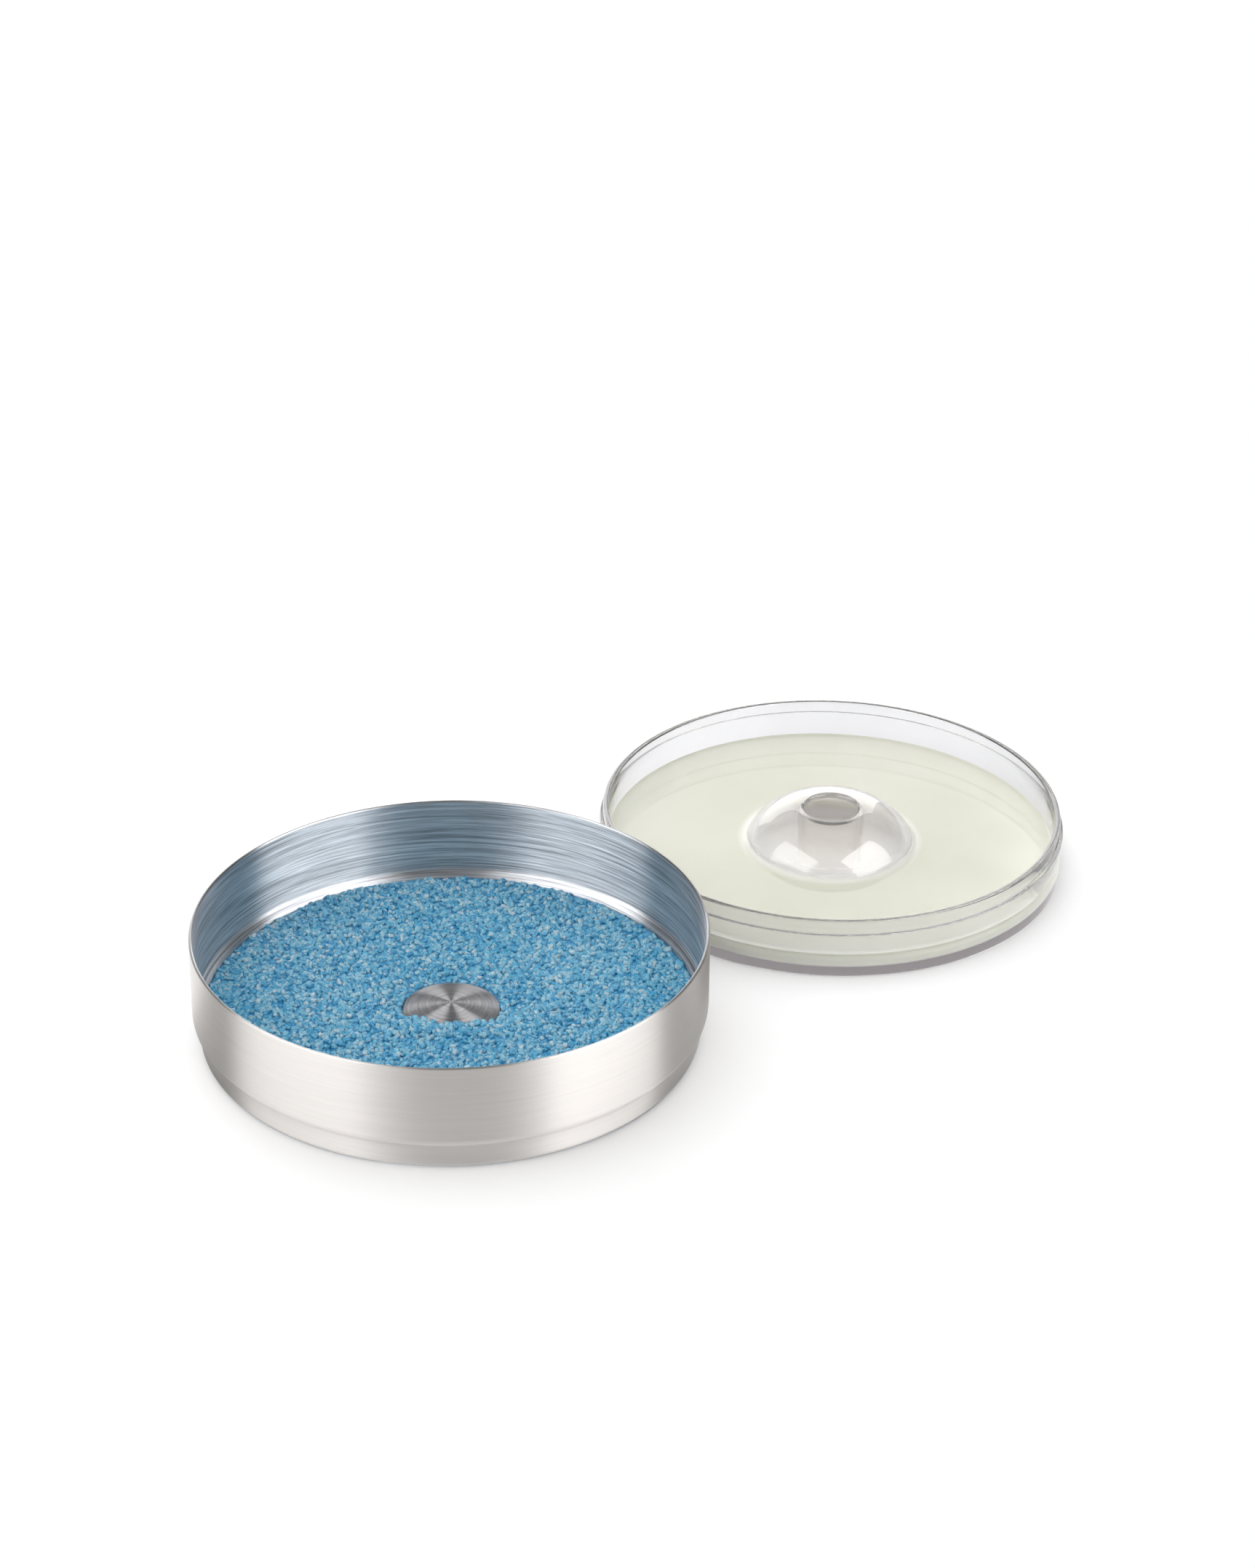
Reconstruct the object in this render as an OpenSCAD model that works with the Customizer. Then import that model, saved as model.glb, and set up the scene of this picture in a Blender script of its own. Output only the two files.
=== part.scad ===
// Cocktail glass rimmer: a drawn steel dish of coarse sugar with a spun cap at its centre,
// and a clear moulded dish of juice with a hollow dome and a tube at its centre.
// Empty and turned the same way up, the clear dish drops into the steel one and rests
// on the step in its wall, with its tube just over the cap.
// Millimetres, +Z up. The origin is the centre of the steel dish's base, on the table.
// +Y points away from the viewer, and the clear dish stands behind and to the right.

/* [Steel dish] */
// Outer diameter at the rim
rim_d = 146; // [132:1:160]
// Height of the dish
steel_h = 33; // [28:0.5:42]
// Thickness of the drawn sheet
sheet = 1.0; // [0.8:0.1:1.4]
// Height at which the lower wall starts to bend out into the step
step_z = 6.9; // [6:0.1:9]
// Angle of each of the two bends of the step, from upright
step_angle = 60; // [50:5:75]
// Outside radius of the corner between the wall and the floor
steel_corner_r = 2.0; // [1.6:0.1:3.5]

/* [Centre cap] */
// Diameter of the cap
cap_d = 28; // [22:1:36]
// Height of the cap's side above the steel floor
cap_side_h = 4.6; // [3.5:0.1:5]
// How far the cap's face bulges above its side
cap_crown = 2.2; // [1.2:0.1:2.4]
// Rounding between the side and the face
cap_edge_r = 0.8; // [0.4:0.1:1.2]

/* [Sugar] */
// Height of the sugar's surface above the table
sugar_level = 7.0; // [5:0.1:7]
// How far the surface dips where it meets the cap
sugar_dip = 1.6; // [0.4:0.1:2]
// Width of the ring round the cap over which it dips
sugar_dip_run = 9; // [5:1:20]
// How high it is banked against the steel wall
sugar_bank = 0.9; // [0.2:0.1:1.1]
// Width of the bank
sugar_bank_run = 4; // [2:0.5:8]

/* [Clear dish] */
// Height of the dish
clear_h = 18.8; // [18:0.1:25]
// Height of the narrower collar under the rim
collar_h = 4.4; // [3:0.1:6]
// How far the collar is set in from the shoulder
collar_in = 1.0; // [0.6:0.1:1.4]
// Thickness of the collar's wall
collar_wall = 1.8; // [1.4:0.1:2.2]
// Thickness of the floor
clear_floor = 2.6; // [2:0.1:3]
// Radius inside, between the wall and the floor
clear_fillet = 0.8; // [0.4:0.1:2.5]
// Radius outside, round the edge that the dish stands on
foot_edge_r = 0.9; // [0.5:0.1:1.4]
// Rounding of the shoulder's outer edge
shoulder_edge_r = 0.4; // [0.2:0.1:0.6]
// How much smaller the outside's radius is at the foot than at the shoulder
clear_draft = 0.6; // [0.3:0.1:1]

/* [Dome and tube] */
// Diameter of the dome where it meets the floor
dome_d = 54; // [52:1:62]
// Height of the lip at the dome's top
dome_h = 17.8; // [15:0.1:18]
// Thickness of the dome
dome_wall = 2.0; // [1.5:0.1:2.5]
// Radius between the dome and the floor
dome_fillet = 1.5; // [0.8:0.1:2.5]
// Bore of the tube
tube_d = 16.6; // [12:0.2:18]
// Thickness of the tube's wall
tube_wall = 1.6; // [1.2:0.1:2]
// Rounding of the lip between the dome and the bore
lip_r = 1.2; // [0.8:0.1:1.5]

/* [Juice] */
// Height of the juice's surface above the table
juice_level = 6.8; // [5:0.1:12]

/* [Fit] */
// Radial clearance between the nested clear dish and the steel wall
nest_gap = 1.0; // [0.6:0.1:1.5]
// How far the step reaches in under the foot of the nested clear dish
seat_overlap = 0.4; // [0.3:0.1:0.8]
// Gap between the tube and the cap when the dishes are nested
cap_gap = 0.8; // [0.5:0.1:1.5]
// Gap left round each filling, so that it touches no wall
fill_gap = 0.1; // [0.05:0.05:0.2]

/* [Layout] */
// Least distance between the two dishes, side by side on the table
dish_gap = 5; // [2:0.5:40]
// Direction of the clear dish from the steel one, from +X towards +Y
dish_angle = 43; // [0:1:90]

/* [Hidden] */
$fn = 180;
// Overlap that keeps two arcs joined where they only touch
hair = 0.001;

// Steel dish: centre-lines of the sheet
rim_r = rim_d / 2;
upper_r = rim_r - sheet / 2;
step_in = nest_gap + clear_draft + seat_overlap;
lower_r = upper_r - step_in;
corner_r = steel_corner_r - sheet / 2;
bend_r = step_in / (2 * (1 - cos(step_angle)));
bend_low = [lower_r + bend_r, step_z];
bend_high = [upper_r - bend_r, step_z + 2 * bend_r * sin(step_angle)];

// Cap: the crown is part of a ball that passes through the top of the side
cap_r = cap_d / 2;
cap_top = sheet + cap_side_h + cap_crown;
crown_r = (pow(cap_r, 2) + pow(cap_crown, 2)) / (2 * cap_crown);
crown_z = cap_top - crown_r;
cap_edge_x = cap_r - cap_edge_r;
cap_edge_z = crown_z + sqrt(pow(crown_r - cap_edge_r, 2) - pow(cap_edge_x, 2)) + hair;

// Clear dish: outside radii from the steel wall that it nests in
shoulder_r = rim_r - sheet - nest_gap;
foot_r = shoulder_r - clear_draft;
collar_r = shoulder_r - collar_in;
cavity_r = collar_r - collar_wall;
shoulder_z = clear_h - collar_h;

// Height of the nested clear dish's foot above the steel dish's base: its rounded
// edge rests on the inside of the step's lower bend
seat_reach = 2 * (bend_r + sheet / 2 + foot_edge_r) - seat_overlap;
nest_z = step_z - foot_edge_r + sqrt(seat_overlap * seat_reach);

// Dome: an arc that is level at the lip and meets the floor at the dome's diameter
tube_r = tube_d / 2;
dome_x = tube_r + lip_r;
dome_run = dome_d / 2 - dome_x;
dome_rise = dome_h - clear_floor;
dome_r = (pow(dome_run, 2) + pow(dome_rise, 2)) / (2 * dome_rise);
dome_z = dome_h - dome_r;
dome_foot_z = clear_floor + dome_fillet;
dome_foot_run = sqrt(pow(dome_r + dome_fillet, 2) - pow(dome_foot_z - dome_z, 2));
dome_foot_x = dome_x + dome_foot_run - hair;
tube_end = max(0, cap_top + cap_gap - nest_z);

// Place of the clear dish
clear_centre = (rim_r + shoulder_r + dish_gap) * [cos(dish_angle), sin(dish_angle)];

// Everything to the right of the axis and between two heights
module slab(x, low, high) {
    translate([0, low])
        square([x, high - low]);
}

// ---- Steel dish ----

// Half of the space inside a surface that follows the sheet, out from its centre-line
module steel_inside(out) {
    // Drum below the step, with its round corner
    slab(lower_r - corner_r, sheet / 2 - out, step_z);
    slab(lower_r + out, sheet / 2 + corner_r, step_z);
    translate([lower_r - corner_r, sheet / 2 + corner_r])
        circle(corner_r + out);
    // Step: a bend outwards and a bend back up, which meet on the line between their centres
    difference() {
        polygon([[0, bend_low.y], bend_low, bend_high, [0, bend_high.y]]);
        translate(bend_low)
            circle(bend_r - out);
    }
    translate(bend_high)
        circle(bend_r + out);
    // Upper drum
    slab(upper_r + out, bend_high.y, steel_h);
}

module steel_section() {
    difference() {
        steel_inside(sheet / 2);
        steel_inside(-sheet / 2);
        translate([upper_r - sheet, steel_h - sheet / 2])
            square(2 * sheet);
    }
    // Rounded edge of the rim
    translate([upper_r, steel_h - sheet / 2])
        circle(sheet / 2);
}

module steel_dish() {
    color([0.80, 0.79, 0.78])
        rotate_extrude()
            steel_section();
}

// ---- Centre cap ----

// Half of the cap's section, grown by a gap on its side and face
module cap_section(gap = 0) {
    slab(cap_r + gap, sheet, cap_edge_z);
    intersection() {
        translate([0, crown_z])
            circle(crown_r + gap);
        slab(cap_edge_x * crown_r / (crown_r - cap_edge_r), sheet, cap_top + gap);
    }
    translate([cap_edge_x, cap_edge_z])
        circle(cap_edge_r + gap);
}

module centre_cap() {
    color([0.47, 0.47, 0.48])
        rotate_extrude()
            cap_section();
}

// ---- Sugar ----

// Half of everything under the sugar's surface, which dips towards the cap and is banked
// against the wall
module under_sugar() {
    dip_level = sugar_level - sugar_dip;
    wall_x = lower_r - sheet / 2;
    slab(rim_r, 0, dip_level);
    polygon([
        [cap_r, 0],
        [rim_r, 0],
        [rim_r, sugar_level + sugar_bank],
        [wall_x, sugar_level + sugar_bank],
        [wall_x - sugar_bank_run, sugar_level],
        [cap_r + sugar_dip_run, sugar_level],
        [cap_r, dip_level]
    ]);
}

module sugar_bed() {
    color([0.42, 0.68, 0.82])
        rotate_extrude()
            difference() {
                intersection() {
                    steel_inside(-sheet / 2 - fill_gap);
                    under_sugar();
                }
                cap_section(fill_gap);
            }
}

// ---- Clear dish ----

// Half of the outside of the wall: foot, drafted body, shoulder and collar
module clear_outside() {
    lip_z = clear_h - collar_wall / 2;
    polygon([
        [0, 0],
        [foot_r - foot_edge_r, 0],
        [foot_r, foot_edge_r],
        [shoulder_r, shoulder_z - shoulder_edge_r],
        [shoulder_r - shoulder_edge_r, shoulder_z],
        [collar_r, shoulder_z],
        [collar_r, lip_z],
        [0, lip_z]
    ]);
    translate([foot_r - foot_edge_r, foot_edge_r])
        circle(foot_edge_r);
    translate([shoulder_r - shoulder_edge_r, shoulder_z - shoulder_edge_r])
        circle(shoulder_edge_r);
}

// Half of the space inside the wall and over the floor, drawn in by a gap
module clear_cavity(gap = 0) {
    slab(cavity_r - clear_fillet, clear_floor + gap, clear_h);
    slab(cavity_r - gap, clear_floor + clear_fillet, clear_h);
    translate([cavity_r - clear_fillet, clear_floor + clear_fillet])
        circle(clear_fillet - gap);
}

// Half of everything under the dome's outside, grown by a gap
module dome_outside(gap = 0) {
    intersection() {
        translate([dome_x, dome_z])
            circle(dome_r + gap);
        translate([dome_x, 0])
            square([dome_r + 1, dome_h + gap]);
    }
    slab(dome_x, 0, dome_h - lip_r);
    translate([dome_x, dome_h - lip_r])
        circle(lip_r + gap);
    // Hollow corner at the foot: the space between the dome, the floor and a round rod
    difference() {
        polygon([
            [dome_x, 0],
            [dome_foot_x, 0],
            [dome_foot_x, dome_foot_z],
            [dome_x, dome_z]
        ]);
        translate([dome_foot_x, dome_foot_z])
            circle(dome_fillet - gap);
    }
}

// Half of the ring-shaped hollow under the dome, round the tube
module dome_hollow() {
    difference() {
        translate([dome_x, dome_z])
            circle(dome_r - dome_wall);
        slab(tube_r + tube_wall, tube_end, dome_h);
        translate([dome_x - dome_r, -dome_r])
            square([dome_r - dome_x, 2 * dome_r]);
    }
}

module clear_section() {
    difference() {
        union() {
            difference() {
                clear_outside();
                clear_cavity();
            }
            dome_outside();
        }
        dome_hollow();
        slab(tube_r, -1, dome_h + 1);
    }
    // Rounded edge of the rim
    translate([collar_r - collar_wall / 2, clear_h - collar_wall / 2])
        circle(collar_wall / 2);
}

module clear_dish() {
    color([0.86, 0.87, 0.86, 0.35])
        translate(clear_centre)
            rotate_extrude()
                clear_section();
}

// ---- Juice ----

module lime_juice() {
    color([0.87, 0.88, 0.81, 0.9])
        translate(clear_centre)
            rotate_extrude()
                difference() {
                    intersection() {
                        clear_cavity(fill_gap);
                        slab(cavity_r, 0, juice_level);
                    }
                    dome_outside(fill_gap);
                }
}

steel_dish();
centre_cap();
sugar_bed();
clear_dish();
lime_juice();
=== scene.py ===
"""Looks for the cocktail glass rimmer.

A brushed steel dish of blue sugar crystals round a spun cap, and a clear moulded dish of
cloudy lime juice round its hollow dome and tube.  The cap is the CAD node; both dishes are
turned here again to the same sections, but finer, and the loose sugar and the juice are
modelled here.
Everything is in metres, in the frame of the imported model.
"""
import math

import bpy
import numpy as np
from mathutils import Matrix, Vector


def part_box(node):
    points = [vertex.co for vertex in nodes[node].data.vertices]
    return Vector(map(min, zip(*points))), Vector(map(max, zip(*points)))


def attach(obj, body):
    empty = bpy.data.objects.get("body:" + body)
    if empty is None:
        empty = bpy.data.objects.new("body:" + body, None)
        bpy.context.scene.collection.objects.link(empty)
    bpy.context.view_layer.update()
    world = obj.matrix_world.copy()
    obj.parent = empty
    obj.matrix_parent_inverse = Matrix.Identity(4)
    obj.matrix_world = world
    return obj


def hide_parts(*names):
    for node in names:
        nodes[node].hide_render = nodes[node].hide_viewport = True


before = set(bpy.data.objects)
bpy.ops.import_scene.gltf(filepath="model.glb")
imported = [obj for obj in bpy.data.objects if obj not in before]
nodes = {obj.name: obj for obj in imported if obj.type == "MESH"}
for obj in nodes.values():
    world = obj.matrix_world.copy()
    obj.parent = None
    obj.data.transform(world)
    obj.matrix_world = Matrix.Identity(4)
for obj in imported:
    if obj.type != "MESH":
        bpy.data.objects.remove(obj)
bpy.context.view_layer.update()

MM = 0.001
ORIGIN = Vector((0, 0, 0))

# ---- Sizes taken from the CAD nodes' boxes ----

steel_low, steel_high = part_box("steel_dish")
cap_low, cap_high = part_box("centre_cap")
clear_low, clear_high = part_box("clear_dish")
juice_low, juice_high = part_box("lime_juice")
sugar_low, sugar_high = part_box("sugar_bed")

# Both dishes are turned 2 microns small, so that rounding keeps them inside the CAD's box
ROUNDING_MM = 0.002
STEEL_R = (steel_high.x - steel_low.x) / 2 - ROUNDING_MM * MM
CAP_R = (cap_high.x - cap_low.x) / 2
CAP_TOP = cap_high.z
CAP_CROWN = 2.2 * MM
SUGAR_R = (sugar_high.x - sugar_low.x) / 2
SUGAR_BANK = 0.9 * MM
SUGAR_Z = sugar_high.z - SUGAR_BANK
CLEAR_CENTRE = Vector(
    ((clear_low.x + clear_high.x) / 2, (clear_low.y + clear_high.y) / 2, 0)
)
JUICE_R = (juice_high.x - juice_low.x) / 2
JUICE_Z = juice_high.z

# The steel dish's section in millimetres, as in the CAD source
SHEET = 1.0
STEP_IN = 2.0
STEP_Z = 6.9
STEP_ANGLE = 60
CORNER_R = 1.5

# The clear dish's section in millimetres, as in the CAD source
CLEAR_H = (clear_high.z - clear_low.z) / MM
SHOULDER_R = (clear_high.x - clear_low.x) / 2 / MM - ROUNDING_MM
SHOULDER_Z = CLEAR_H - 4.4
SHOULDER_EDGE = 0.4
COLLAR_R = SHOULDER_R - 1.0
COLLAR_WALL = 1.8
CAVITY_R = COLLAR_R - COLLAR_WALL
FOOT_R = SHOULDER_R - 0.6
FOOT_EDGE = 0.9
FLOOR = 2.6
WALL_FILLET = 0.8
DOME_FILLET = 1.5
BORE_R = 8.3
TUBE_WALL = 1.6
TUBE_END = 1.0
LIP_R = 1.2
DOME_TOP = 17.8
DOME_WALL = 2.0
DOME_FOOT_R = 27.0
# The dome is an arc that is level at the lip and meets the floor at the foot's radius
DOME_X_MM = BORE_R + LIP_R
DOME_RUN = DOME_FOOT_R - DOME_X_MM
DOME_RISE = DOME_TOP - FLOOR
DOME_R_MM = (DOME_RUN**2 + DOME_RISE**2) / (2 * DOME_RISE)
DOME_Z_MM = DOME_TOP - DOME_R_MM
DOME_X, DOME_Z, DOME_R = DOME_X_MM * MM, DOME_Z_MM * MM, DOME_R_MM * MM


# ---- Camera, at the photograph's place and angle ----

CAMERA_AT = Vector((0.0735, -0.8502, 0.5460))
CAMERA_YAW = math.radians(-1.63)
CAMERA_PITCH = math.radians(28.73)
CAMERA_ROLL = math.radians(0.64)
IMAGE_LONG_SIDE = 2156
FOCAL_PIXELS = 4873
SENSOR = 36.0


def add_camera():
    """The camera looks along -Z of its own axes, with +Y up."""
    yaw, pitch, roll = CAMERA_YAW, CAMERA_PITCH, CAMERA_ROLL
    ahead = Vector(
        (
            math.sin(yaw) * math.cos(pitch),
            math.cos(yaw) * math.cos(pitch),
            -math.sin(pitch),
        )
    )
    level = Vector((math.cos(yaw), -math.sin(yaw), 0))
    above = level.cross(ahead)
    right = math.cos(roll) * level + math.sin(roll) * above
    up = -math.sin(roll) * level + math.cos(roll) * above
    bpy.ops.object.camera_add(location=CAMERA_AT)
    camera = bpy.context.object
    camera.name = "studio_camera"
    turn = Matrix((right, up, -ahead)).transposed()
    camera.rotation_euler = turn.to_euler()
    camera.data.sensor_fit = "AUTO"
    camera.data.sensor_width = SENSOR
    camera.data.lens = SENSOR * FOCAL_PIXELS / IMAGE_LONG_SIDE
    camera.data.clip_start = 0.05
    camera.data.clip_end = 50
    bpy.context.scene.camera = camera


# ---- Helpers for materials ----


def linear(hex_colour):
    """An sRGB hex colour as the linear colour that a socket takes."""
    parts = [int(hex_colour[i : i + 2], 16) / 255 for i in (1, 3, 5)]
    return tuple(
        p / 12.92 if p <= 0.04045 else ((p + 0.055) / 1.055) ** 2.4 for p in parts
    ) + (1.0,)


def add(tree, kind, **settings):
    """Adds one node. A setting is an attribute of the node, or one of its sockets where its
    name starts with in_ and ends with the socket's number or name. A socket is set to a
    value or linked to another node's output."""
    node = tree.nodes.new(kind)
    for name, value in settings.items():
        if not name.startswith("in_"):
            setattr(node, name, value)
            continue
        key = name[3:].replace("_", " ")
        socket = node.inputs[int(key) if key.isdigit() else key]
        if isinstance(value, bpy.types.NodeSocket):
            tree.links.new(value, socket)
        else:
            socket.default_value = value
    return node


def maths(tree, operation, one, other):
    """One operation on two numbers, each a value or another node's output."""
    return add(tree, "ShaderNodeMath", operation=operation, in_0=one, in_1=other).outputs[0]


def grade(tree, value, start, end, first=0.0, last=1.0, kind="LINEAR"):
    """A number that goes from first to last as a value goes from start to end."""
    return add(
        tree,
        "ShaderNodeMapRange",
        interpolation_type=kind,
        in_Value=value,
        in_From_Min=start,
        in_From_Max=end,
        in_To_Min=first,
        in_To_Max=last,
    ).outputs[0]


def colour_ramp(tree, value, *stops):
    """A smooth run of colours over a value from 0 to 1."""
    node = add(tree, "ShaderNodeValToRGB", in_Fac=value)
    elements = node.color_ramp.elements
    elements.remove(elements[1])
    elements[0].position, elements[0].color = stops[0][0], linear(stops[0][1])
    for position, colour in stops[1:]:
        elements.new(position).color = linear(colour)
    return node.outputs[0]


def mixed_colours(tree, share, one, other):
    """One colour where the share is 0, the other where it is 1."""
    return add(
        tree, "ShaderNodeMix", data_type="RGBA", in_0=share, in_6=one, in_7=other
    ).outputs[2]


def mixed_shaders(tree, share, one, other):
    """One shader where the share is 0, the other where it is 1."""
    return add(
        tree, "ShaderNodeMixShader", in_0=share, in_1=one, in_2=other
    ).outputs[0]


def both_shaders(tree, one, other):
    """The light of two shaders together."""
    return add(tree, "ShaderNodeAddShader", in_0=one, in_1=other).outputs[0]


def glow(tree, strength):
    """A surface that gives out white light of its own."""
    return add(
        tree, "ShaderNodeEmission", in_Color=(1, 1, 1, 1), in_Strength=strength
    ).outputs[0]


def object_place(tree):
    """Where a point of the piece is, in metres."""
    return add(tree, "ShaderNodeTexCoord").outputs["Object"]


def noise(tree, place, size, detail, roughness=0.5):
    """Noise with patches of a size in metres, from 0 to 1."""
    return add(
        tree,
        "ShaderNodeTexNoise",
        in_Vector=place,
        in_Scale=1 / size,
        in_Detail=detail,
        in_Roughness=roughness,
    ).outputs["Fac"]


def bump(tree, height, strength, depth=0.1 * MM, **settings):
    """The normal of a surface with a relief."""
    return add(
        tree,
        "ShaderNodeBump",
        in_Height=height,
        in_Strength=strength,
        in_Distance=depth,
        **settings,
    ).outputs[0]


def from_axis(tree, centre):
    """Distance of a point from an upright axis."""
    local = add(
        tree,
        "ShaderNodeVectorMath",
        operation="SUBTRACT",
        in_0=object_place(tree),
        in_1=tuple(centre),
    ).outputs[0]
    flat = add(
        tree, "ShaderNodeVectorMath", operation="MULTIPLY", in_0=local, in_1=(1, 1, 0)
    ).outputs[0]
    return add(
        tree, "ShaderNodeVectorMath", operation="LENGTH", in_0=flat
    ).outputs["Value"]


def brushed_lines(tree, along, across, roughness):
    """Noise drawn out into lines that run round the steel dish's axis, as a lathe leaves
    them: `along` and `across` are the lines' length and spacing in metres.  Returns the
    noise, and the height and radius of each point."""
    x, y, z = add(tree, "ShaderNodeSeparateXYZ", in_0=object_place(tree)).outputs
    radius = from_axis(tree, ORIGIN)
    # Height and radius together grow all the way along the section, floor and wall alike
    run = maths(tree, "ADD", z, radius)
    scaled = maths(tree, "MULTIPLY", run, along / across)
    lines = add(tree, "ShaderNodeCombineXYZ", in_0=x, in_1=y, in_2=scaled).outputs[0]
    return noise(tree, lines, along, 4.0, roughness), z, radius


def new_material(name):
    """A material with an empty node tree."""
    material = bpy.data.materials.new(name)
    material.use_nodes = True
    material.node_tree.nodes.clear()
    return material, material.node_tree


def principled(tree, **settings):
    """Blender's general surface."""
    return add(tree, "ShaderNodeBsdfPrincipled", **settings).outputs[0]


def turned_steel(tree, **settings):
    """Steel whose shine is stretched across scratches that run round the axis."""
    around = add(tree, "ShaderNodeTangent", direction_type="RADIAL", axis="Z").outputs[0]
    return principled(
        tree,
        in_Tangent=around,
        in_Metallic=1.0,
        in_Anisotropic=1.0,
        in_Anisotropic_Rotation=0.25,
        **settings,
    )


def show(tree, shader):
    """Ends a material's tree with the shader that its surface shows."""
    add(tree, "ShaderNodeOutputMaterial", in_Surface=shader)


# ---- Materials ----


def brushed_stainless():
    """Cold-drawn 18/8 stainless, brushed round on a lathe with a fine abrasive belt outside
    and a coarser one inside: long fine scratches round the dish, so that each light draws out
    into an upright band across them."""
    material, tree = new_material("brushed_stainless_steel")
    # Real scratches are about 0.05 mm apart, too fine to show: these are about 0.6 mm
    fine, height, radius = brushed_lines(tree, 30 * MM, 0.6 * MM, 0.65)
    # The middle of the sheet, which the step brings in at the bottom
    step_top = 10.4 * MM
    high = STEEL_R - SHEET / 2 * MM
    low = STEEL_R - (STEP_IN + SHEET / 2) * MM
    middle = grade(tree, height, STEP_Z * MM, step_top, low, high)
    inside = maths(tree, "LESS_THAN", radius, middle)
    outer_tone = colour_ramp(tree, fine, (0.30, "#D3D0CD"), (0.70, "#DAD6D3"))
    inner_tone = colour_ramp(tree, fine, (0.32, "#929398"), (0.68, "#F3F4F6"))
    # The outside is a little rougher, so its bands reach from top to bottom
    rough = grade(tree, inside, 0, 1, 0.44, 0.37)
    depth = grade(tree, inside, 0, 1, 0.008, 0.05)
    steel = turned_steel(
        tree,
        in_Base_Color=mixed_colours(tree, inside, outer_tone, inner_tone),
        in_Roughness=rough,
        in_Normal=bump(tree, fine, depth),
    )
    show(tree, steel)
    return material


def spun_stainless():
    """The cap's face, finished on a lathe with a coarser grit: rings about the centre, so
    the lights draw out into fans that meet there."""
    material, tree = new_material("spun_stainless_steel")
    rings = brushed_lines(tree, 10 * MM, 0.5 * MM, 0.7)[0]
    steel = turned_steel(
        tree,
        in_Base_Color=colour_ramp(tree, rings, (0.30, "#9E9DA0"), (0.70, "#D6D4D6")),
        in_Roughness=0.42,
        in_Normal=bump(tree, rings, 0.15),
    )
    show(tree, steel)
    return material


def clear_san():
    """Injection-moulded styrene acrylonitrile, as clear table goods are: clear with a faint
    grey haze and a moulded gloss.  Shadows pass through it, so the table under it stays
    pale."""
    material, tree = new_material("clear_moulded_san")
    place = object_place(tree)
    # A moulding is never optically flat: a very slow ripple from the mould's polish
    ripple = bump(tree, noise(tree, place, 30 * MM, 1.0), 0.10)
    # Greyer and hazier over the dome and its foot than further out: painted shade, standing in
    # for the shade in the hollow under the dome
    from_middle = from_axis(tree, CLEAR_CENTRE)
    outwards = maths(tree, "DIVIDE", from_middle, 30 * MM)
    dome_painted_shade_tint = colour_ramp(
        tree, outwards, (0.63, "#F4F2EF"), (0.83, "#FBFAF9"), (0.95, "#F4F4F7")
    )
    # As the grey value of a colour: clear tube, hazy dome, hazier foot, clear floor and wall;
    # over the dome and its foot this is haze and painted shade together
    clear = colour_ramp(
        tree,
        outwards,
        (0.33, "#FAFAFA"),
        (0.43, "#F0F0F0"),
        (0.63, "#EEEEEE"),
        (0.83, "#DCDCDC"),
        (0.95, "#FBFBFB"),
    )
    # The core that moulds the hollow is only drawn smooth, which leaves that side satin
    height = add(tree, "ShaderNodeSeparateXYZ", in_0=place).outputs[2]
    spot = add(tree, "ShaderNodeCombineXYZ", in_0=from_middle, in_1=height).outputs[0]
    from_arc = add(
        tree,
        "ShaderNodeVectorMath",
        operation="DISTANCE",
        in_0=spot,
        in_1=(DOME_X, DOME_Z, 0),
    ).outputs["Value"]
    satin = grade(tree, from_arc, DOME_R - 1.5 * MM, DOME_R - 0.5 * MM, 0.16, 0.03)
    plastic = principled(
        tree,
        in_Base_Color=dome_painted_shade_tint,
        in_Roughness=satin,
        in_IOR=1.53,
        in_Normal=ripple,
        in_Transmission_Weight=clear,
    )
    shade = colour_ramp(tree, outwards, (0.83, "#ECEBEB"), (0.95, "#D0D0D1"))
    shadow = add(tree, "ShaderNodeBsdfTransparent", in_Color=shade).outputs[0]
    path = add(tree, "ShaderNodeLightPath").outputs
    show(tree, mixed_shaders(tree, path["Is Shadow Ray"], plastic, shadow))
    return material


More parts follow.
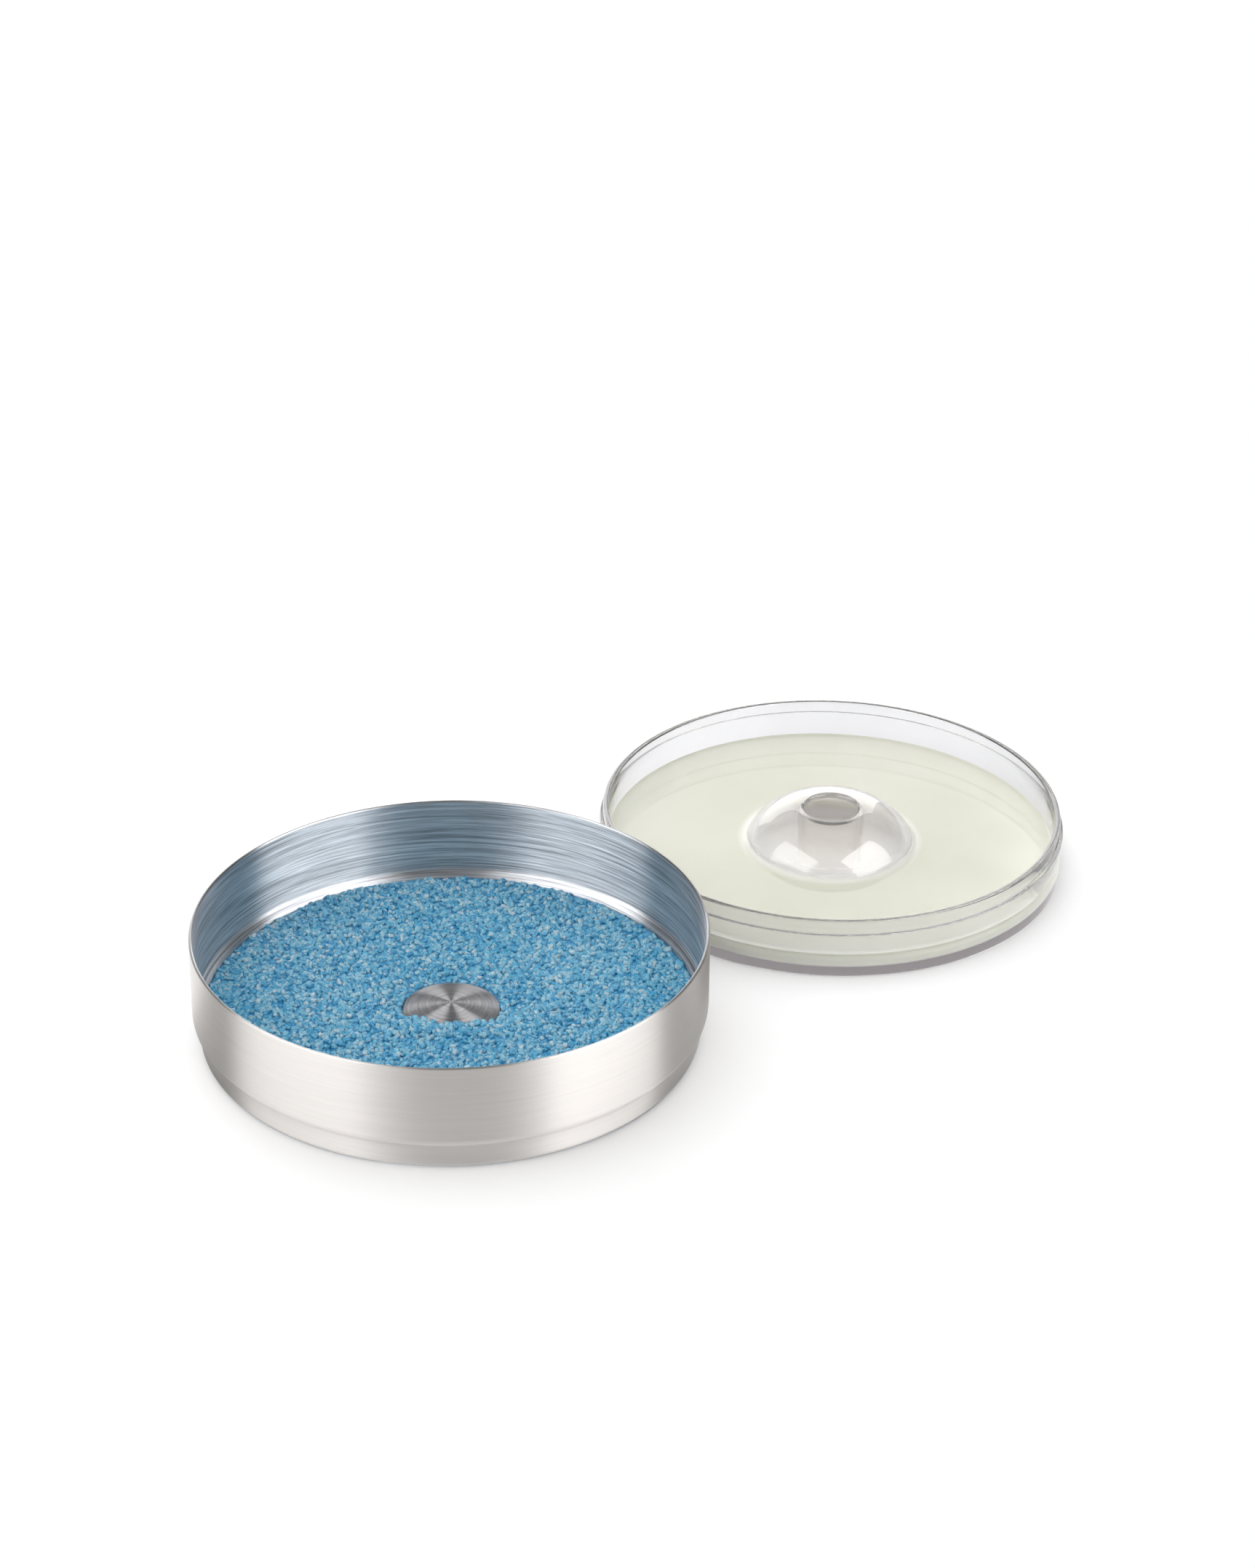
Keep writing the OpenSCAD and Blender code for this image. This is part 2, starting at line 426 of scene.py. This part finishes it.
def lime_juice():
    """Fresh lime juice with its pulp: a pale yellow-green liquid, cloudy enough to hide the
    floor but not the foot of the dome just under its surface."""
    material, tree = new_material("cloudy_lime_juice")
    place = object_place(tree)
    cloud = noise(tree, place, 35 * MM, 3.0)
    tone = colour_ramp(tree, cloud, (0.25, "#C4C4B5"), (0.75, "#CBCCBF"))
    # Paler over the foot of the dome: painted light, standing in for light that passes up
    # through the thin juice and the clear dome
    over_dome_foot_painted_light = grade(tree, from_axis(tree, CLEAR_CENTRE), 25.8 * MM, 28.6 * MM)
    pale = mixed_colours(tree, over_dome_foot_painted_light, linear("#DEDED8"), tone)
    # Painted shade and light by height on its side: darkest at the underside, where little
    # light comes down and which shows through the dish's foot, brightest just above it, then
    # darker towards the top
    height = add(tree, "ShaderNodeSeparateXYZ", in_0=place).outputs[2]
    centimetres = maths(tree, "DIVIDE", height, 10 * MM)
    juice_side_painted_shade = colour_ramp(
        tree, centimetres, (0.272, "#C4BCBE"), (0.32, "#EFF0E4"), (0.62, "#D8D9CA")
    )
    top = grade(tree, height, 6.3 * MM, 6.7 * MM)
    # Painted light: the underside glows faintly, standing in for the light that comes down
    # through the cloudy juice
    underside_painted_glow = grade(tree, height, 2.6 * MM, 2.9 * MM, 0.15, 0.0)
    liquid = principled(
        tree,
        in_Base_Color=mixed_colours(tree, top, juice_side_painted_shade, pale),
        in_Roughness=0.03,
        in_IOR=1.34,
        in_Subsurface_Weight=0.5,
        in_Subsurface_Radius=(1.0, 1.0, 0.8),
        in_Subsurface_Scale=2 * MM,
        in_Emission_Color=(1.0, 0.94, 0.95, 1.0),
        in_Emission_Strength=underside_painted_glow,
    )
    show(tree, liquid)
    return material


def sugar_crystal():
    """Dyed decorating sugar: hard clear crystals with sharp glossy facets, dyed through.
    Each crystal took its own depth of dye, kept in the attribute "dye"."""
    material, tree = new_material("dyed_sugar_crystal")
    cloud = noise(tree, object_place(tree), 1.2 * MM, 1.0)
    own = add(tree, "ShaderNodeAttribute", attribute_name="dye").outputs["Fac"]
    depth = add(tree, "ShaderNodeMix", in_0=0.25, in_2=own, in_3=cloud).outputs[0]
    tone = colour_ramp(
        tree,
        depth,
        (0.08, "#E6F7FD"),
        (0.25, "#B0E6FA"),
        (0.50, "#84D6F6"),
        (0.75, "#60C4EE"),
        (0.95, "#40A8DC"),
    )
    crystal = principled(
        tree,
        in_Base_Color=tone,
        in_Roughness=0.06,
        in_IOR=1.54,
        in_Transmission_Weight=0.50,
    )
    show(tree, crystal)
    return material


def packed_sugar_painted_shade():
    """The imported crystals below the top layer: the same dye, in the shade between grains."""
    material, tree = new_material("packed_dyed_sugar")
    grains = add(
        tree, "ShaderNodeTexVoronoi", in_Vector=object_place(tree), in_Scale=1 / MM
    ).outputs["Distance"]
    sugar = principled(
        tree,
        # Painted shade: darker than the loose crystals and darkest towards each grain's edge,
        # as the packed grains lie in shade
        in_Base_Color=colour_ramp(tree, grains, (0.1, "#5AA9D0"), (0.7, "#22749F")),
        in_Roughness=0.4,
        in_IOR=1.54,
        in_Normal=bump(tree, grains, 0.6, 0.5 * MM, invert=True),
    )
    show(tree, sugar)
    return material


# ---- Helpers for modelling ----


def deselect_all():
    """Nothing selected and nothing in edit mode, so an operator acts on its own piece."""
    if bpy.context.object and bpy.context.object.mode != "OBJECT":
        bpy.ops.object.mode_set(mode="OBJECT")
    bpy.ops.object.select_all(action="DESELECT")


def wear(piece, material):
    """Gives a piece one material."""
    piece.data.materials.clear()
    piece.data.materials.append(material)


def edit_all():
    """Edit mode on the active piece, with all of it selected."""
    bpy.ops.object.mode_set(mode="EDIT")
    bpy.ops.mesh.select_all(action="SELECT")


def turned(name, section, centre, steps):
    """A solid of revolution: a closed section of (radius, height) points is drawn and spun
    round an upright axis, as on a lathe."""
    deselect_all()
    mesh = bpy.data.meshes.new(name)
    piece = bpy.data.objects.new(name, mesh)
    bpy.context.scene.collection.objects.link(piece)
    points = [(centre.x + r, centre.y, z) for r, z in section]
    following = [(i, (i + 1) % len(points)) for i in range(len(points))]
    # A solid that reaches its axis has no face there
    edges = [(i, j) for i, j in following if section[i][0] > 0 or section[j][0] > 0]
    mesh.from_pydata(points, edges, [])
    bpy.context.view_layer.objects.active = piece
    piece.select_set(True)
    edit_all()
    bpy.ops.mesh.spin(
        steps=steps, angle=math.tau, center=(centre.x, centre.y, 0), axis=(0, 0, 1)
    )
    bpy.ops.mesh.select_all(action="SELECT")
    bpy.ops.mesh.remove_doubles(threshold=1e-6)
    bpy.ops.mesh.normals_make_consistent(inside=False)
    bpy.ops.object.mode_set(mode="OBJECT")
    return piece


def smooth(piece, sharp_from=None):
    """Smooth shading, which keeps the edges that turn by more than an angle in degrees."""
    deselect_all()
    piece.select_set(True)
    bpy.context.view_layer.objects.active = piece
    if sharp_from is None:
        bpy.ops.object.shade_smooth()
    else:
        bpy.ops.object.shade_smooth_by_angle(angle=math.radians(sharp_from))


def arc(cx, cz, r, start, end, count):
    """Points on an arc, with angles in degrees from +X towards +Z."""
    angles = [math.radians(start + (end - start) * i / count) for i in range(count + 1)]
    return [(cx + r * math.cos(a), cz + r * math.sin(a)) for a in angles]


# Enough steps round a dish that its facets don't break up the thin lines along its edges
FINE_STEPS = 480
SHARP_FROM = 30


# ---- Steel dish ----


def steel_section():
    """Half of the steel dish's section, from the middle of its base, up the outside, over
    the rounded rim and down the inside.  Radius and height in millimetres."""
    half = SHEET / 2
    wall = STEEL_R / MM - half
    top = steel_high.z / MM - half
    low_wall = wall - STEP_IN
    corner_x, corner_z = low_wall - CORNER_R, half + CORNER_R
    bend = STEP_IN / (2 * (1 - math.cos(math.radians(STEP_ANGLE))))
    high_z = STEP_Z + 2 * bend * math.sin(math.radians(STEP_ANGLE))
    turn = 180 - STEP_ANGLE
    return (
        [(0, 0)]
        + arc(corner_x, corner_z, CORNER_R + half, -90, 0, 12)
        + arc(low_wall + bend, STEP_Z, bend - half, 180, turn, 8)
        + arc(wall - bend, high_z, bend + half, -STEP_ANGLE, 0, 12)[1:]
        + arc(wall, top, half, 0, 180, 16)
        + arc(wall - bend, high_z, bend - half, 0, -STEP_ANGLE, 8)
        + arc(low_wall + bend, STEP_Z, bend + half, turn, 180, 12)[1:]
        + arc(corner_x, corner_z, CORNER_R - half, 0, -90, 8)
        + [(0, SHEET)]
    )


def draw_steel_dish(material):
    """The drawn dish, turned finer than the CAD node."""
    section = [(r * MM, z * MM) for r, z in steel_section()]
    dish = turned("steel_dish_drawn", section, ORIGIN, FINE_STEPS)
    smooth(dish, SHARP_FROM)
    wear(dish, material)
    return dish


# ---- Sugar ----

CRYSTAL_COUNT = 14000
CRYSTAL_PIECES = 4

# The bed's shape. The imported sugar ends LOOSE_LAYER below the CAD's level, and the middles
# of the loose crystals lie round about there
DIP = 1.6 * MM
DIP_RUN = 9 * MM
BANK_RUN = 3.0 * MM
MOUND = 0.9 * MM
MOUND_AT = 15 * MM
MOUND_RUN = 5 * MM
WAVE = 0.09 * MM
LOOSE_LAYER = 0.35 * MM

sugar_draw = np.random.RandomState(4)
# Each low wave across the bed: its length over 2 pi, its heading and its phase
HEAP_WAVES = [
    (
        sugar_draw.uniform(0.006, 0.022),
        sugar_draw.uniform(0, math.tau),
        sugar_draw.uniform(0, math.tau),
    )
    for _ in range(14)
]


def heap_height(x, y):
    """Height of the sugar at a point: level, dipping round the cap and rising where it was
    pushed against the wall and against the cap's front."""
    r = np.hypot(x, y)
    front = np.clip(-y / np.maximum(r, 1e-6), 0, 1)
    near_cap = np.clip((r - CAP_R) / DIP_RUN, 0, 1)
    dip = DIP * (1 - near_cap) * (1 - np.clip((front - 0.45) / 0.35, 0, 1))
    wall = SUGAR_BANK * np.exp(-np.clip(SUGAR_R - r, 0, 1) / BANK_RUN)
    on_front = np.clip((front - 0.40) / 0.35, 0, 1)
    mound = MOUND * on_front * np.exp(-(((r - MOUND_AT) / MOUND_RUN) ** 2))
    waves = sum(
        WAVE * np.sin(x * math.cos(a) / s + y * math.sin(a) / s + p)
        for s, a, p in HEAP_WAVES
    )
    return SUGAR_Z - dip + wall + mound + waves - LOOSE_LAYER


def make_sugar_heap():
    """The bed under the top layer of crystals, turned as a ring and then pushed into low
    waves."""
    inner, outer, corner = 14.12, 69.85, 69.0
    base, corner_top, level = 1.1, 2.0, 7.0
    below = [(inner, base), (corner, base), (outer, corner_top)]
    above = [(r, level) for r in np.linspace(inner, outer, 56)]
    section = [(r * MM, z * MM) for r, z in below + above[::-1]]
    heap = turned("sugar_heap", section, ORIGIN, steps=180)
    places = np.zeros(len(heap.data.vertices) * 3)
    heap.data.vertices.foreach_get("co", places)
    places = places.reshape(-1, 3)
    high = places[:, 2] > 6.5 * MM
    places[high, 2] = heap_height(places[high, 0], places[high, 1])
    heap.data.vertices.foreach_set("co", places.ravel())
    heap.data.update()
    smooth(heap)
    wear(heap, packed_sugar_painted_shade())
    return heap


def model_crystal(name, size, chamfer, slant):
    """One sugar crystal: a block with its corners ground off and its ends slanted, of a size
    in millimetres.  Returns its points and faces."""
    deselect_all()
    bpy.ops.mesh.primitive_cube_add(size=1)
    crystal = bpy.context.object
    crystal.name = name
    edit_all()
    bpy.ops.transform.resize(value=size)
    bpy.ops.object.mode_set(mode="OBJECT")
    for v in crystal.data.vertices:
        v.co.x += slant * v.co.z
        v.co.y -= 0.5 * slant * v.co.z
    edit_all()
    bpy.ops.mesh.bevel(
        offset=chamfer, offset_type="OFFSET", segments=1, affect="VERTICES"
    )
    bpy.ops.mesh.quads_convert_to_tris()
    bpy.ops.object.mode_set(mode="OBJECT")
    mesh = crystal.data
    points = np.array([v.co[:] for v in mesh.vertices])
    faces = np.array([p.vertices[:] for p in mesh.polygons])
    bpy.data.objects.remove(crystal)
    bpy.data.meshes.remove(mesh)
    return points, faces


def random_turns(count, lie_flat):
    """Rotation matrices: any heading, and tilted up to about `lie_flat` radians."""
    heading = sugar_draw.uniform(0, math.tau, count)
    tilt = sugar_draw.normal(0, lie_flat, count)
    roll = sugar_draw.uniform(0, math.tau, count)
    ch, sh = np.cos(heading), np.sin(heading)
    ct, st = np.cos(tilt), np.sin(tilt)
    cr, sr = np.cos(roll), np.sin(roll)
    one, nil = np.ones(count), np.zeros(count)
    about_z = np.stack([ch, -sh, nil, sh, ch, nil, nil, nil, one], 1).reshape(-1, 3, 3)
    about_y = np.stack([ct, nil, st, nil, one, nil, -st, nil, ct], 1).reshape(-1, 3, 3)
    about_x = np.stack([one, nil, nil, nil, cr, -sr, nil, sr, cr], 1).reshape(-1, 3, 3)
    return about_z @ about_y @ about_x


def scatter(name, crystals, places, material):
    """Copies crystals to places, each with its own turn and size, into one mesh."""
    count = len(places)
    kind = sugar_draw.randint(0, len(crystals), count)
    turns = random_turns(count, lie_flat=0.5)
    # Most are within a sixth of the modelled size, each way
    sizes = sugar_draw.lognormal(0, 0.16, (count, 3))
    depth = sugar_draw.uniform(0, 1, count)
    points, faces, dyes, start = [], [], [], 0
    for k, (corners, sides) in enumerate(crystals):
        mine = np.nonzero(kind == k)[0]
        shaped = corners[None] * sizes[mine][:, None] * MM
        moved = np.einsum("nij,nkj->nki", turns[mine], shaped) + places[mine][:, None]
        offsets = start + np.arange(len(mine)) * len(corners)
        points.append(moved.reshape(-1, 3))
        faces.append((sides[None] + offsets[:, None, None]).reshape(-1, 3))
        dyes.append(np.repeat(depth[mine], len(corners)))
        start += len(mine) * len(corners)
    points, faces = np.concatenate(points), np.concatenate(faces)
    mesh = bpy.data.meshes.new(name)
    mesh.vertices.add(len(points))
    mesh.vertices.foreach_set("co", points.ravel())
    mesh.loops.add(len(faces) * 3)
    mesh.loops.foreach_set("vertex_index", faces.ravel())
    mesh.polygons.add(len(faces))
    mesh.polygons.foreach_set("loop_start", np.arange(len(faces)) * 3)
    mesh.update(calc_edges=True)
    dye = mesh.attributes.new("dye", "FLOAT", "POINT")
    dye.data.foreach_set("value", np.concatenate(dyes))
    piece = bpy.data.objects.new(name, mesh)
    bpy.context.scene.collection.objects.link(piece)
    wear(piece, material)
    return piece


def grow_sugar():
    """The top layer of loose crystals."""
    crystals = [
        model_crystal("crystal_block", (1.45, 1.20, 1.00), chamfer=0.20, slant=0.10),
        model_crystal("crystal_long", (1.85, 1.05, 0.88), chamfer=0.18, slant=0.18),
        model_crystal("crystal_cube", (1.30, 1.22, 1.10), chamfer=0.22, slant=0.05),
    ]
    inner, outer = 10.9 * MM, SUGAR_R - 0.7 * MM
    r = np.sqrt(sugar_draw.uniform(inner**2, outer**2, CRYSTAL_COUNT))
    a = sugar_draw.uniform(0, math.tau, CRYSTAL_COUNT)
    x, y = r * np.cos(a), r * np.sin(a)
    # On the cap only where they were pushed over its front edge, furthest straight in front
    over = r < CAP_R + 0.6 * MM
    front = -y / r
    edge = 11.1 * MM + 3.2 * MM * np.clip((0.80 - front) / 0.5, 0, 1)
    keep = ~over | ((front > 0.45) & (r > edge))
    x, y, r, over = x[keep], y[keep], r[keep], over[keep]
    z = heap_height(x, y) + sugar_draw.uniform(-0.35, 0.35, len(x)) * MM
    crown = CAP_TOP - (r**2) * (CAP_CROWN / CAP_R**2)
    z = np.where(over, np.maximum(z, crown + 0.4 * MM), z)
    places = np.stack([x, y, z], 1)
    order = sugar_draw.permutation(len(places))
    material = sugar_crystal()
    return [
        scatter(f"sugar_crystals_{i + 1}", crystals, places[part], material)
        for i, part in enumerate(np.array_split(order, CRYSTAL_PIECES))
    ]


# ---- Clear dish ----


def clear_section():
    """Half of the clear dish's section, up the bore, over the lip and the dome, across the
    floor, up and over the wall, and back under the foot and the dome.  Radius and height in
    millimetres from the dish's axis and the table."""
    dome_points = 48
    foot_z = FLOOR + DOME_FILLET
    foot_x = DOME_X_MM + math.sqrt(
        (DOME_R_MM + DOME_FILLET) ** 2 - (foot_z - DOME_Z_MM) ** 2
    )
    meet = math.degrees(math.atan2(foot_z - DOME_Z_MM, foot_x - DOME_X_MM))
    hollow_r = DOME_R_MM - DOME_WALL
    tube_x = BORE_R + TUBE_WALL
    hollow_low = math.degrees(math.asin(-DOME_Z_MM / hollow_r))
    hollow_high = math.degrees(math.acos((tube_x - DOME_X_MM) / hollow_r))
    rim_x = COLLAR_R - COLLAR_WALL / 2
    rim_z = CLEAR_H - COLLAR_WALL / 2
    edge_x, edge_z = SHOULDER_R - SHOULDER_EDGE, SHOULDER_Z - SHOULDER_EDGE
    return (
        [(BORE_R, TUBE_END)]
        + arc(BORE_R + LIP_R, DOME_TOP - LIP_R, LIP_R, 180, 90, 12)[:-1]
        + arc(DOME_X_MM, DOME_Z_MM, DOME_R_MM, 90, meet, dome_points)
        + arc(foot_x, foot_z, DOME_FILLET, 180 + meet, 270, 8)[1:]
        + arc(CAVITY_R - WALL_FILLET, FLOOR + WALL_FILLET, WALL_FILLET, -90, 0, 10)
        + arc(rim_x, rim_z, COLLAR_WALL / 2, 180, 0, 16)
        + [(COLLAR_R, SHOULDER_Z)]
        + arc(edge_x, edge_z, SHOULDER_EDGE, 90, 2, 6)
        + arc(FOOT_R - FOOT_EDGE, FOOT_EDGE, FOOT_EDGE, 2, -90, 10)
        + arc(DOME_X_MM, DOME_Z_MM, hollow_r, hollow_low, hollow_high, dome_points)
        + [(tube_x, TUBE_END)]
    )


def mould_clear_dish():
    """The clear dish, turned finer than the CAD node."""
    section = [(r * MM, z * MM) for r, z in clear_section()]
    dish = turned("clear_dish_moulding", section, CLEAR_CENTRE, FINE_STEPS)
    smooth(dish, SHARP_FROM)
    wear(dish, clear_san())
    return dish


# ---- Juice ----

# The slight climb that a liquid makes up a wall
CLIMB = 0.40 * MM
CLIMB_RUN = 0.7 * MM


def pour_juice():
    """The pool of juice round the dome. It reaches a little into the plastic all round, so
    that no gap of air shows between them."""
    outer = JUICE_R + 0.15 * MM
    base = 2.55 * MM
    hidden_r = DOME_R - 0.9 * MM
    top = JUICE_Z + CLIMB
    inner = DOME_X + math.sqrt(DOME_R**2 - (top - DOME_Z) ** 2)

    def climbing(edge, outwards, order):
        steps = [2.6 * MM * (i / 12) ** 1.6 for i in order]
        return [
            (edge + outwards * d, JUICE_Z + CLIMB * math.exp(-d / CLIMB_RUN)) for d in steps
        ]

    # The surface goes on a little inside the dome's wall, whose foot shows it from above
    surface = [(inner - 1.0 * MM, top), (inner - 0.5 * MM, top)]
    surface += climbing(inner, 1, range(13))
    level = np.linspace(inner + 4.5 * MM, outer - 4.5 * MM, 14)
    surface += [(r, JUICE_Z) for r in level]
    surface += climbing(outer, -1, range(12, -1, -1))
    turn = WALL_FILLET * MM
    wall = [(outer, 4.4 * MM)] + arc(outer - turn, base + turn, turn, 0, -90, 8)
    # In over the fillet at the dome's foot, then up inside the dome's wall
    foot = [(30.0 * MM, base), (28.3 * MM, base), (27.0 * MM, 3.1 * MM)]
    heights = np.linspace(4.0 * MM, top - 0.2 * MM, 8)
    hidden = [(DOME_X + math.sqrt(hidden_r**2 - (z - DOME_Z) ** 2), z) for z in heights]
    section = surface + wall + foot + hidden
    pool = turned("lime_juice_pool", section, CLEAR_CENTRE, steps=192)
    smooth(pool)
    wear(pool, lime_juice())
    return pool


# ---- Studio ----

# Between the two dishes, on the table
STUDIO_MIDDLE = (0.055, 0.045, 0)


def softbox(name, azimuth, elevation, distance, width, height, radiance):
    """A soft light that faces the object. Azimuth 0 is in front, +90 at its right; radiance
    is how bright the panel itself looks, where 1 is white."""
    a, e = math.radians(azimuth), math.radians(elevation)
    back = Vector(
        (math.sin(a) * math.cos(e), -math.cos(a) * math.cos(e), math.sin(e))
    )
    lamp = bpy.data.lights.new(name, "AREA")
    lamp.shape = "RECTANGLE"
    lamp.size, lamp.size_y = width, height
    lamp.energy = radiance * math.pi * width * height
    light = bpy.data.objects.new(name, lamp)
    bpy.context.scene.collection.objects.link(light)
    light.location = Vector(STUDIO_MIDDLE) + back * distance
    light.rotation_euler = back.to_track_quat("Z", "Y").to_euler()
    light.visible_camera = False
    return light


def backdrop_card():
    """A white card upright behind the object, which the steel's sides show at a glance."""
    middle = (-0.335, 1.70, 0.50)
    width, height = 1.77, 1.0
    bpy.ops.mesh.primitive_plane_add(size=1, location=middle)
    card = bpy.context.object
    card.name = "studio_backdrop"
    edit_all()
    bpy.ops.transform.resize(value=(width, height, 1), center_override=middle)
    bpy.ops.transform.rotate(
        value=math.radians(90), orient_axis="X", center_override=middle
    )
    bpy.ops.object.mode_set(mode="OBJECT")
    material, tree = new_material("white_backdrop_card")
    show(tree, glow(tree, 2.0))
    wear(card, material)
    return card


def white_table():
    """The studio's white table: it takes the object's shadow and looks white to the camera,
    and steel and clear plastic each show it in their own way."""
    material, tree = new_material("white_studio_table")
    place = object_place(tree)
    away = add(
        tree, "ShaderNodeVectorMath", operation="DISTANCE", in_0=place, in_1=STUDIO_MIDDLE
    ).outputs["Value"]
    # Away from the object it is plain white, as the photograph's background
    far = grade(tree, away, 0.17, 0.33, kind="SMOOTHSTEP")
    paper = add(tree, "ShaderNodeBsdfDiffuse", in_Color=(0.80, 0.80, 0.80, 1)).outputs[0]
    lifted = both_shaders(tree, paper, glow(tree, 0.14))
    plain = glow(tree, 1.0)
    shown = mixed_shaders(tree, far, lifted, plain)
    through = mixed_shaders(tree, far, paper, plain)
    # Painted light for steel: to glossy rays the table glows in patches, so steel shows it
    # grey on the left, lighter on the right and in front, and brightest behind on the left
    x, y, _ = add(tree, "ShaderNodeSeparateXYZ", in_0=place).outputs
    front = grade(tree, y, -0.08, -0.03, 0.6, 0.0, "SMOOTHSTEP")
    right = grade(tree, x, 0.04, 0.08, 0.0, 0.28, "SMOOTHSTEP")
    rear = grade(tree, y, -0.005, 0.020, 0.0, 1.5, "SMOOTHSTEP")
    left = grade(tree, x, 0.0, 0.06, 1.0, 0.2, "SMOOTHSTEP")
    steel_painted_glow = maths(
        tree,
        "ADD",
        maths(tree, "MAXIMUM", front, right),
        maths(tree, "MULTIPLY", rear, left),
    )
    dim = add(tree, "ShaderNodeBsdfDiffuse", in_Color=(0.50, 0.50, 0.50, 1)).outputs[0]
    mirrored = both_shaders(tree, dim, glow(tree, steel_painted_glow))
    # A ray through clear plastic counts as glossy too, so transmission is asked after it
    path = add(tree, "ShaderNodeLightPath").outputs
    surface = mixed_shaders(tree, path["Is Glossy Ray"], paper, mirrored)
    surface = mixed_shaders(tree, path["Is Transmission Ray"], surface, through)
    surface = mixed_shaders(tree, path["Is Camera Ray"], surface, shown)
    show(tree, surface)
    return material


def grey_room():
    """The world: a grey room that the object mirrors, and white behind it for the camera."""
    world = bpy.data.worlds.new("grey_room")
    bpy.context.scene.world = world
    world.use_nodes = True
    tree = world.node_tree
    tree.nodes.clear()
    # The room is lighter towards the camera than behind the object
    towards = add(tree, "ShaderNodeTexCoord").outputs["Generated"]
    depth = add(tree, "ShaderNodeSeparateXYZ", in_0=towards).outputs[1]
    grey = grade(tree, depth, -0.7, 0.1, 0.38, 0.12)
    room = add(tree, "ShaderNodeBackground", in_Color=grey).outputs[0]
    white = add(tree, "ShaderNodeBackground", in_Color=(1, 1, 1, 1)).outputs[0]
    # Through clear plastic, the white sweep is seen behind the object and the room before it
    path = add(tree, "ShaderNodeLightPath").outputs
    behind = grade(tree, depth, -0.15, 0.25)
    through = maths(tree, "MULTIPLY", path["Is Transmission Ray"], behind)
    seen = maths(tree, "MAXIMUM", path["Is Camera Ray"], through)
    add(tree, "ShaderNodeOutputWorld", in_Surface=mixed_shaders(tree, seen, room, white))


def set_studio():
    """A white table, a white card behind, two softboxes, a panel overhead and a grey room."""
    deselect_all()
    # A hair below the dishes, which touch a real table only here and there
    bpy.ops.mesh.primitive_plane_add(size=12, location=(0, 0, -0.05 * MM))
    table = bpy.context.object
    table.name = "studio_table"
    wear(table, white_table())

    # The two softboxes are what shines; the panel overhead lights what is matte
    left = softbox(
        "soft_left",
        azimuth=-62,
        elevation=37,
        distance=0.85,
        width=0.93,
        height=0.72,
        radiance=3.2,
    )
    right = softbox(
        "soft_right",
        azimuth=68,
        elevation=37,
        distance=0.85,
        width=0.86,
        height=0.72,
        radiance=4.1,
    )
    left.visible_diffuse = right.visible_diffuse = False
    panel = softbox(
        "soft_overhead",
        azimuth=-110,
        elevation=74,
        distance=1.2,
        width=3.0,
        height=3.0,
        radiance=1.55,
    )
    panel.visible_glossy = panel.visible_transmission = False
    backdrop = backdrop_card()
    grey_room()
    bpy.context.scene.view_settings.view_transform = "Standard"


# ---- Making ----

deselect_all()
add_camera()
set_studio()

brushed = brushed_stainless()
wear(nodes["steel_dish"], brushed)
drawn = draw_steel_dish(brushed)
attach(drawn, "sugar_dish")
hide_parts("steel_dish")
wear(nodes["centre_cap"], spun_stainless())

dish = mould_clear_dish()
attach(dish, "juice_dish")
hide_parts("clear_dish")

heap = make_sugar_heap()
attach(heap, "sugar_dish")
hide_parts("sugar_bed")
for grains in grow_sugar():
    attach(grains, "sugar_dish")

pool = pour_juice()
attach(pool, "juice_dish")
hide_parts("lime_juice")

for node, piece in (("clear_dish", dish), ("sugar_bed", heap), ("lime_juice", pool)):
    wear(nodes[node], piece.data.materials[0])
